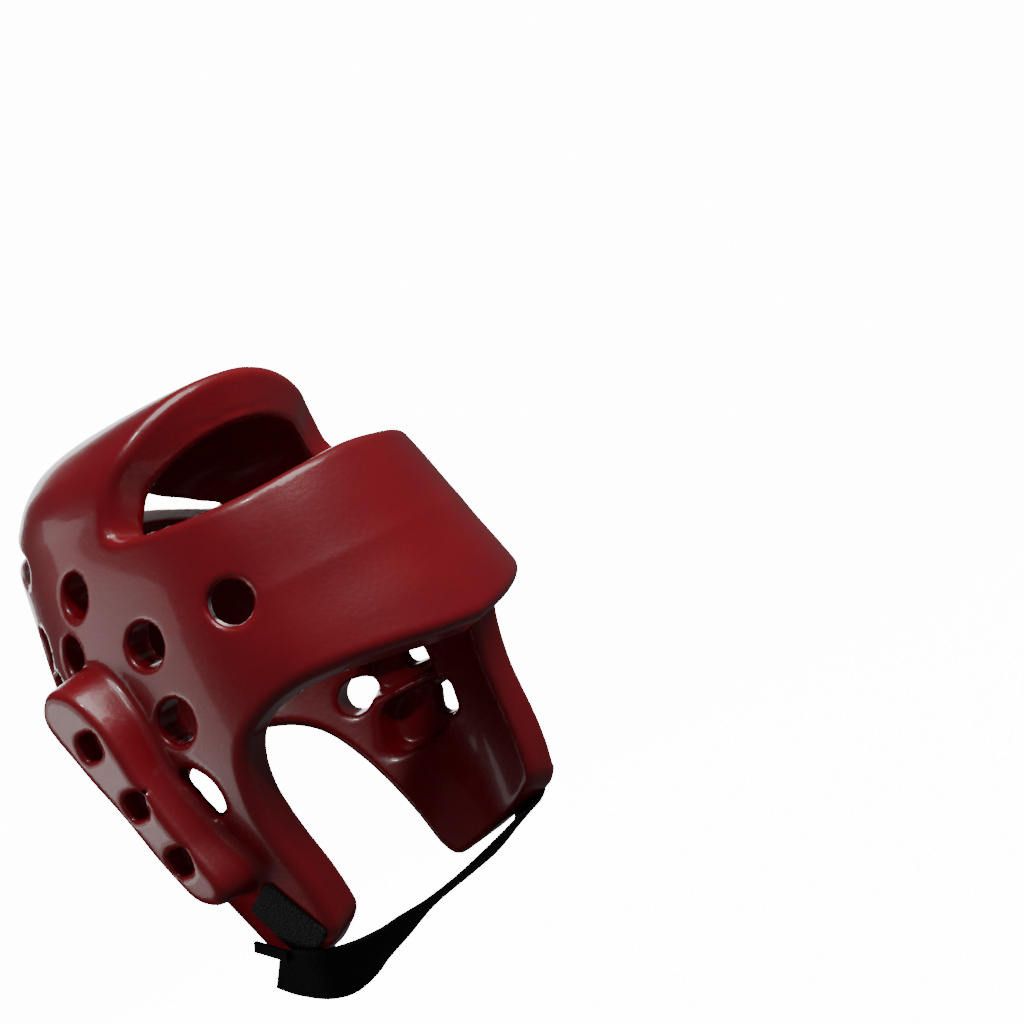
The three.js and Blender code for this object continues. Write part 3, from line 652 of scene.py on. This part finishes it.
class Shader:
    """A material's node tree."""

    def __init__(self, name):
        self.material = bpy.data.materials.new(name)
        self.material.use_nodes = True
        self.tree = self.material.node_tree
        self.surface = self.tree.nodes["Principled BSDF"]

    def node(self, kind, settings=None, values=None, out=0):
        """Makes a node: its settings first, then the values or links of its sockets."""
        made = self.tree.nodes.new(kind)
        for key, value in (settings or {}).items():
            setattr(made, key, value)
        for key, value in (values or {}).items():
            self.put(made.inputs[key], value)
        return Wire(self, made.outputs[out])

    def put(self, socket, value):
        """Links a wire to a socket, or sets the socket to a constant."""
        if isinstance(value, Wire):
            self.tree.links.new(value.socket, socket)
        else:
            socket.default_value = value

    def set(self, **values):
        """Feeds the surface's sockets, named with underscores for spaces."""
        for key, value in values.items():
            self.put(self.surface.inputs[key.replace("_", " ")], value)

    def place(self):
        """The place on the piece, in metres."""
        return self.node("ShaderNodeTexCoord", out="Object")

    def noise(self, where, scale, detail):
        """Soft noise between 0 and 1."""
        return self.node("ShaderNodeTexNoise", None, {"Vector": where, "Scale": scale, "Detail": detail})

    def mix(self, factor, a, b):
        """A colour between two others."""
        return self.node("ShaderNodeMix", {"data_type": "RGBA"}, {0: factor, 6: a, 7: b}, out=2)

    def bump(self, height, strength, distance, normal=None):
        """A normal bent by a height, laid over another one if given."""
        values = {"Height": height, "Strength": strength, "Distance": distance}
        if normal is not None:
            values["Normal"] = normal
        return self.node("ShaderNodeBump", None, values)


def foam_material(colours):
    """Dipped vinyl skin: deep even red, a wet gloss with a faint orange peel and a few dull handling marks."""
    shader = Shader("dipped_foam")
    where = shader.place()
    cloud = shader.noise(where, 14.0, 2.0)
    marks = shader.noise(where, 30.0, 2.0)
    blend = ((cloud - 0.35) * 2.2).clamped()
    shader.set(Base_Color=shader.mix(blend, tuple(colours.foam_deep), tuple(colours.foam)))
    shader.set(Roughness=0.27 + 0.07 * marks + 0.04 * cloud)
    peel = shader.noise(where, 420.0, 1.5)
    dents = shader.noise(where, 45.0, 2.0)
    first = shader.bump(peel, 0.22, 0.0003)
    shader.set(Normal=shader.bump(dents, 0.10, 0.0012, first))
    shader.set(IOR=1.5, Coat_Weight=0.4, Coat_Roughness=0.07)
    return shader.material


def webbing_material(colours, pitch):
    """Woven elastic webbing: ribs across the strap and a fine cross thread, matte black, with painted shade
    darkening the grooves and a painted highlight on the raised ribs and threads.
    """
    shader = Shader("webbing")
    uv = shader.node("ShaderNodeUVMap", {"uv_map": "UVMap"})
    along, over = [shader.node("ShaderNodeSeparateXYZ", None, {"Vector": uv}, out=axis) for axis in ("X", "Y")]
    turn = 2 * math.pi / pitch
    rib = (along * turn).sine() * 0.5 + 0.5
    thread = ((over * (turn * 1.4)) + (along * turn * 0.5).sine() * 1.2).sine() * 0.5 + 0.5
    height = rib * 0.65 + thread * 0.35
    # Painted shade and highlight of the weave: the colour goes from the black to a lighter black with the
    # weave's height, darker in the grooves and lighter on the raised ribs and threads, mixed with random fuzz
    dark = tuple(colours.webbing)
    light = tuple(min(1.0, c * 3.2) for c in dark[:3]) + (1.0,)
    fuzz = shader.noise(shader.place(), 900.0, 2.0)
    shader.set(Base_Color=shader.mix((height * 0.6 + fuzz * 0.4).clamped(), dark, light))
    shader.set(Roughness=0.82 + 0.12 * fuzz)
    shader.set(Normal=shader.bump(height, 0.6, 0.0004))
    shader.set(Specular_IOR_Level=0.25)
    return shader.material


def hook_material(colours):
    """Hook tape: a field of tiny stiff loops, with a faint sparkle from the loops' smoother tips and a painted
    highlight on them.
    """
    shader = Shader("hook_tape")
    where = shader.place()
    dots = shader.node("ShaderNodeTexVoronoi", {"feature": "F1"}, {"Vector": where, "Scale": 900.0}, out=0)
    patch = shader.noise(where, 220.0, 3.0)
    # Painted highlight on the loop tips: the colour goes lighter where the tips stand, mixed with random
    # patches of tone
    dark = tuple(colours.hook)
    light = tuple(min(1.0, c * 2.5) for c in dark[:3]) + (1.0,)
    tips = (1 - dots * 1.6).clamped()
    shader.set(Base_Color=shader.mix(tips * 0.5 + patch * 0.2, dark, light))
    shader.set(Roughness=0.55 + 0.35 * dots.clamped())
    shader.set(Normal=shader.bump(tips, 0.8, 0.0006))
    return shader.material


# ---- The strap and its patches -----------------------------------------------------------------

# The strap's middle line, in millimetres: place, direction across, width
STRAP_LINE = [
    ((-95.6, 0.5, -232.5), (0.05, 0.66, -0.75), 16.0),
    ((-95.8, -9.5, -234.5), (0.15, 0.42, -0.90), 24.0),
    ((-93.4, -22.0, -239.5), (0.14, 0.40, -0.90), 25.0),
    ((-82.0, -28.5, -243.0), (0.0, 0.48, -0.88), 25.0),
    ((-66.0, -29.0, -244.0), (0.0, 0.62, -0.78), 25.0),
    ((-50.0, -27.0, -243.5), (0.0, 0.75, -0.66), 25.0),
    ((-30.0, -26.0, -243.2), (0.0, 0.86, -0.51), 25.0),
    ((0.0, -22.0, -242.0), (0.0, 0.93, -0.37), 25.0),
    ((35.0, -19.0, -241.0), (0.0, 0.90, -0.42), 25.0),
    ((60.0, -18.0, -239.5), (0.0, 0.88, -0.47), 25.0),
    ((79.5, -19.0, -236.5), (0.0, 0.93, -0.37), 25.0),
    ((91.5, -17.0, -230.0), (0.0, 0.97, -0.25), 25.0),
    ((97.0, -14.0, -220.0), (0.0, 0.95, -0.30), 25.0),
    ((99.5, -10.0, -211.0), (0.0, 0.92, -0.38), 25.0),
    ((101.5, -7.0, -202.0), (0.0, 0.90, -0.43), 23.8),
]

# The strap's free end: its middle, length and width, and the way it points
TAIL, TAIL_WAY = ((-99.4, -5.5, -221.4), 18.0, 5.0), (0.0, 0.88, 0.475)
TAIL_STEPS = 24


def through(points, count):
    """An open smooth line through points, evenly spaced, and how far along each place lies."""
    pts = np.array(points, float)
    ends = np.concatenate([[2 * pts[0] - pts[1]], pts, [2 * pts[-1] - pts[-2]]])
    out = []
    for i in range(1, len(ends) - 2):
        out.append(catmull(ends[i - 1], ends[i], ends[i + 1], ends[i + 2], STRETCH))
    return evenly(np.concatenate(out + [pts[-1:]]), count)


def ring_faces(rings, count):
    """The faces between closed rings of points."""
    faces = []
    for i in range(rings - 1):
        for j in range(count):
            a, b = i * count + j, i * count + (j + 1) % count
            faces.append((a, b, b + count, a + count))
    return faces


# The strap's cross section: share of its half width out from the middle, share of its thickness
SELVEDGE = [(0, 0.92), (0.5, 0.92), (0.86, 1.08), (0.93, 1.08), (1, 0.35)]


def strap_section(half, thick):
    """The strap's cross section: a flat band with rounded, slightly thicker selvedges."""
    right = [(u * half, v * thick / 2) for u, v in SELVEDGE]
    upper = [(-u, v) for u, v in right[:0:-1]] + right
    return upper + [(u, -v) for u, v in upper[::-1]]


def band(name, line, across, widths, thick, material, run):
    """A closed band along a line, with a uv that runs in metres along and over it."""
    tangent = np.gradient(line, axis=0)
    tangent /= np.linalg.norm(tangent, axis=1, keepdims=True)
    side = across / np.linalg.norm(across, axis=1, keepdims=True)
    normal = np.cross(tangent, side)
    normal /= np.linalg.norm(normal, axis=1, keepdims=True)
    rings, uvs = [], []
    for k in range(len(line)):
        section = strap_section(widths[k] / 2, thick)
        rings.append([line[k] + a * side[k] + b * normal[k] for a, b in section])
        uvs.append([(run[k] / 1000, a / 1000) for a, b in section])
    count = len(rings[0])
    points = np.array(rings).reshape(-1, 3)
    uv = np.array(uvs).reshape(-1, 2)
    faces = ring_faces(len(rings), count)
    half = count // 2
    for start, flip in ((0, True), ((len(rings) - 1) * count, False)):
        for j in range(half - 1):
            quad = (start + j, start + j + 1, start + count - 2 - j, start + count - 1 - j)
            faces.append(quad[::-1] if flip else quad)
    piece = mesh_object(name, points, faces, material)
    layer = piece.data.uv_layers.new(name="UVMap")
    loops = np.zeros(len(piece.data.loops), np.int32)
    piece.data.loops.foreach_get("vertex_index", loops)
    layer.data.foreach_set("uv", uv[loops].astype(np.float32).ravel())
    return piece


def outer_x(y, z):
    """The outer surface's distance out at places seen from the side."""
    low, high = np.full(np.shape(y), 20.0), np.full(np.shape(y), 140.0)
    for _ in range(40):
        middle = (low + high) / 2
        inside = side_reach((middle, y, z), False) < 0
        low, high = np.where(inside, middle, low), np.where(inside, high, middle)
    return (low + high) / 2


# A patch seen from the side: the middle of its top edge, the direction down it, its size and corners
PATCH_TOP, PATCH_DOWN = np.array([-11.0, -197.0]), np.array([-0.431, -0.902])
PATCH_WIDTH, PATCH_LENGTH, PATCH_CORNER = 24.0, 34.0, 3.0

# The patch's rings, from the middle of its face over its edge to the middle of its back: size, height
PATCH_RINGS = [(0.01, 1), (0.3, 1), (0.6, 1), (0.85, 1), (0.96, 1), (0.995, 0.8), (1, 0.5), (0.995, 0),
               (0.6, 0), (0.01, 0)]


def patch(name, sign, material):
    """A hook patch bonded to the outside of a cheek, its edges cut square and a little soft."""
    side = np.array([PATCH_DOWN[1], -PATCH_DOWN[0]])
    outline = []
    for cu, cv, start in ((1, 1, 0), (-1, 1, 90), (-1, -1, 180), (1, -1, 270)):
        for k in range(7):
            turn = math.radians(start + 15 * k)
            outline.append((cu * (PATCH_WIDTH / 2 - PATCH_CORNER) + PATCH_CORNER * math.cos(turn),
                            cv * (PATCH_LENGTH / 2 - PATCH_CORNER) + PATCH_CORNER * math.sin(turn)))
    outline = np.array(outline)
    rings = []
    for scale, high in PATCH_RINGS:
        across, down = outline[:, 0] * scale, outline[:, 1] * scale + PATCH_LENGTH / 2
        y = PATCH_TOP[0] + PATCH_DOWN[0] * down + side[0] * across
        z = PATCH_TOP[1] + PATCH_DOWN[1] * down + side[1] * across
        slope_y = outer_x(y + 0.5, z) - outer_x(y - 0.5, z)
        slope_z = outer_x(y, z + 0.5) - outer_x(y, z - 0.5)
        normal = np.stack([np.ones_like(y), -slope_y, -slope_z], axis=1)
        normal /= np.linalg.norm(normal, axis=1, keepdims=True)
        base = np.stack([outer_x(y, z), y, z], axis=1)
        rings.append(base + normal * (SEAT_GAP + high * PATCH_THICKNESS))
    count = len(outline)
    points = np.concatenate(rings) * np.array([sign, 1, 1])
    faces = ring_faces(len(rings), count)
    faces += [tuple(range(count)), tuple(range(len(points) - 1, len(points) - count - 1, -1))]
    return mesh_object(name, points, faces, material)


# ---- Operators ---------------------------------------------------------------------------------

def settings():
    """The user's sizes and colours."""
    scene = bpy.context.scene
    return scene.headgear_sizes, scene.headgear_colours


class HEADGEAR_OT_foam(bpy.types.Operator):
    """Builds the dipped foam skin of the shell and both ear guards"""
    bl_idname = "headgear.foam"
    bl_label = "Foam skin"

    def execute(self, context):
        sizes, colours = settings()
        step = sizes.cell * 1000
        foam = Foam(*[1000 * size for size in (sizes.rim, sizes.vent_lip, sizes.fillet, sizes.guard_edge)])
        half = int(math.ceil((GUARD_FACE + GRID_MARGIN) / step))
        xs = step * (np.arange(half) + 0.5)
        ys, zs = np.arange(*GRID_Y, step), np.arange(*GRID_Z, step)
        values = np.empty((half, len(ys), len(zs)), np.float32)
        for i in range(0, half, GRID_SLAB):
            grid = np.meshgrid(xs[i:i + GRID_SLAB], ys, zs, indexing="ij")
            values[i:i + GRID_SLAB] = foam.distance(grid)
        values = np.concatenate([values[::-1], values])
        points, faces = surface_nets(values, (-xs[-1], ys[0], zs[0]), step)
        points = settle(points, faces, foam.distance)
        piece = mesh_object("dipped_foam_skin", points, faces, foam_material(colours))
        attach(piece, "root")
        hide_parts("foam_shell", "ear_guard_left", "ear_guard_right")
        return {"FINISHED"}


class HEADGEAR_OT_patches(bpy.types.Operator):
    """Builds the two hook patches on the cheeks"""
    bl_idname = "headgear.patches"
    bl_label = "Hook patches"

    def execute(self, context):
        _, colours = settings()
        material = hook_material(colours)
        for hand, sign in (("left", 1), ("right", -1)):
            piece = patch("hook_field_" + hand, sign, material)
            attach(piece, "root")
            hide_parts("hook_patch_" + hand)
        return {"FINISHED"}


class HEADGEAR_OT_strap(bpy.types.Operator):
    """Builds the chin strap and its free end"""
    bl_idname = "headgear.strap"
    bl_label = "Chin strap"

    def execute(self, context):
        sizes, colours = settings()
        material = webbing_material(colours, sizes.weave)
        rows = np.array([place + across + (width,) for place, across, width in STRAP_LINE], float)
        line, run = through(rows, sizes.strap_steps)
        piece = band("woven_strap", line[:, :3], line[:, 3:6], line[:, 6], STRAP_THICKNESS, material, run)
        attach(piece, "root")
        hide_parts("chin_strap")
        middle, length, width = TAIL
        ends = [np.array(middle) + t * length / 2 * np.array(TAIL_WAY) for t in (-1, 0, 1)]
        rows = np.array([list(p) + [0, -TAIL_WAY[2], TAIL_WAY[1], width] for p in ends])
        line, run = through(rows, TAIL_STEPS)
        tail = band("woven_tail", line[:, :3], line[:, 3:6], line[:, 6], STRAP_THICKNESS, material, run)
        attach(tail, "root")
        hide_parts("strap_tail")
        return {"FINISHED"}


# The camera, in metres: its place, its three directions, and its focal length and picture in pixels
CAMERA_PLACE = (-0.7155982, -0.6739372, -0.0776754)
CAMERA_RIGHT = (0.525008, -0.731986, -0.434238)
CAMERA_DOWN = (-0.271462, 0.339543, -0.900566)
CAMERA_FORWARD = (0.806644, 0.590683, -0.020443)
FOCAL_PIXELS, PICTURE_PIXELS, SENSOR_WIDTH = 2079.026, 1024, 36

# The white surroundings, and the black card that keeps the far cheek's lining dark: place and size
SURROUND_RADIUS, FLOOR_RADIUS, FLOOR_HEIGHT, GLOW = 5, 4.5, -0.45, 14.0
FLAG_PLACE, FLAG_SIZE = (-0.05, 0.150, -0.225), (0.30, 0.27, 1)

# Lights: direction from the headgear, distance, width, height, power
LIGHTS = [
    ("side_box", (-0.72, 0.70, 0.10), 1.35, 1.4, 1.1, 6.5),
    ("guard_box", (-0.70, 0.72, 0.00), 1.40, 0.45, 0.35, 1.2),
    ("key_box", (0.25, -0.70, 1.05), 1.4, 0.8, 0.8, 14.5),
    ("back_box", (0.60, 0.80, 0.30), 1.4, 0.9, 0.9, 9.0),
    ("window", (-0.30, -0.60, 0.95), 1.4, 0.13, 0.08, 4.5),
]


class HEADGEAR_OT_stage(bpy.types.Operator):
    """Builds the camera, the plain pale floor and backdrop, and the soft lights"""
    bl_idname = "headgear.stage"
    bl_label = "Stage"

    def execute(self, context):
        scene = context.scene
        right, down, forward = Vector(CAMERA_RIGHT), Vector(CAMERA_DOWN), Vector(CAMERA_FORWARD)
        lens = bpy.data.cameras.new("camera")
        lens.sensor_width = SENSOR_WIDTH
        lens.lens = FOCAL_PIXELS / PICTURE_PIXELS * SENSOR_WIDTH
        camera = bpy.data.objects.new("camera", lens)
        scene.collection.objects.link(camera)
        turn = Matrix((right, -down, -forward)).transposed().to_4x4()
        camera.matrix_world = Matrix.Translation(CAMERA_PLACE) @ turn
        scene.camera = camera

        pale = Shader("pale_stage")
        pale.set(Base_Color=(0.9, 0.9, 0.9, 1), Roughness=0.9, Specular_IOR_Level=0.0)
        pale.set(Emission_Color=(1, 1, 1, 1), Emission_Strength=GLOW)
        bpy.ops.mesh.primitive_uv_sphere_add(segments=48, ring_count=24, radius=SURROUND_RADIUS)
        backdrop = context.object
        backdrop.name = "backdrop"
        bpy.ops.mesh.primitive_circle_add(vertices=64, radius=FLOOR_RADIUS, fill_type="NGON",
                                          location=(0, 0, FLOOR_HEIGHT))
        floor = context.object
        floor.name = "floor"
        for thing in (backdrop, floor):
            thing.data.materials.append(pale.material)
            thing.visible_diffuse = False
            thing.visible_glossy = False
            thing.visible_shadow = False
        bpy.ops.mesh.primitive_plane_add(size=1, location=FLAG_PLACE, rotation=(math.pi / 2, 0, 0))
        flag = context.object
        flag.name = "flag"
        flag.scale = FLAG_SIZE
        flag.visible_camera = False
        black = Shader("flag_cloth")
        black.set(Base_Color=(0.01, 0.01, 0.01, 1), Roughness=1.0, Specular_IOR_Level=0.0)
        flag.data.materials.append(black.material)

        middle = (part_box("foam_shell")[0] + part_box("foam_shell")[1]) / 2
        for name, way, far, wide, tall, power in LIGHTS:
            way = Vector(way).normalized()
            light = bpy.data.lights.new(name, "AREA")
            light.shape = "RECTANGLE"
            light.size, light.size_y = wide, tall
            light.energy = power
            lamp = bpy.data.objects.new(name, light)
            scene.collection.objects.link(lamp)
            lamp.location = middle + way * far
            lamp.rotation_mode = "QUATERNION"
            lamp.rotation_quaternion = (-way).to_track_quat("-Z", "Y")
            lamp.visible_camera = False
        world = bpy.data.worlds.new("soft_world")
        scene.world = world
        world.use_nodes = True
        ground = world.node_tree.nodes["Background"]
        ground.inputs["Color"].default_value = (0.95, 0.97, 1.0, 1)
        ground.inputs["Strength"].default_value = 0.09
        return {"FINISHED"}


class HEADGEAR_PT_panel(bpy.types.Panel):
    """Lists the headgear's steps and sizes"""
    bl_label = "Headgear"
    bl_idname = "HEADGEAR_PT_panel"
    bl_space_type = "VIEW_3D"
    bl_region_type = "UI"
    bl_category = "Headgear"

    def draw(self, context):
        layout = self.layout
        for group in settings():
            for key in group.__annotations__:
                layout.prop(group, key)
        for operator in OPERATORS:
            layout.operator(operator.bl_idname)


OPERATORS = (HEADGEAR_OT_stage, HEADGEAR_OT_foam, HEADGEAR_OT_patches, HEADGEAR_OT_strap)
CLASSES = (HeadgearSizes, HeadgearColours) + OPERATORS + (HEADGEAR_PT_panel,)


def register():
    for kind in CLASSES:
        bpy.utils.register_class(kind)
    bpy.types.Scene.headgear_sizes = PointerProperty(type=HeadgearSizes)
    bpy.types.Scene.headgear_colours = PointerProperty(type=HeadgearColours)


def unregister():
    del bpy.types.Scene.headgear_colours
    del bpy.types.Scene.headgear_sizes
    for kind in reversed(CLASSES):
        bpy.utils.unregister_class(kind)


def main():
    """Builds the stage and every piece."""
    register()
    bpy.ops.headgear.stage()
    bpy.ops.headgear.foam()
    bpy.ops.headgear.patches()
    bpy.ops.headgear.strap()


if __name__ == "__main__":
    main()
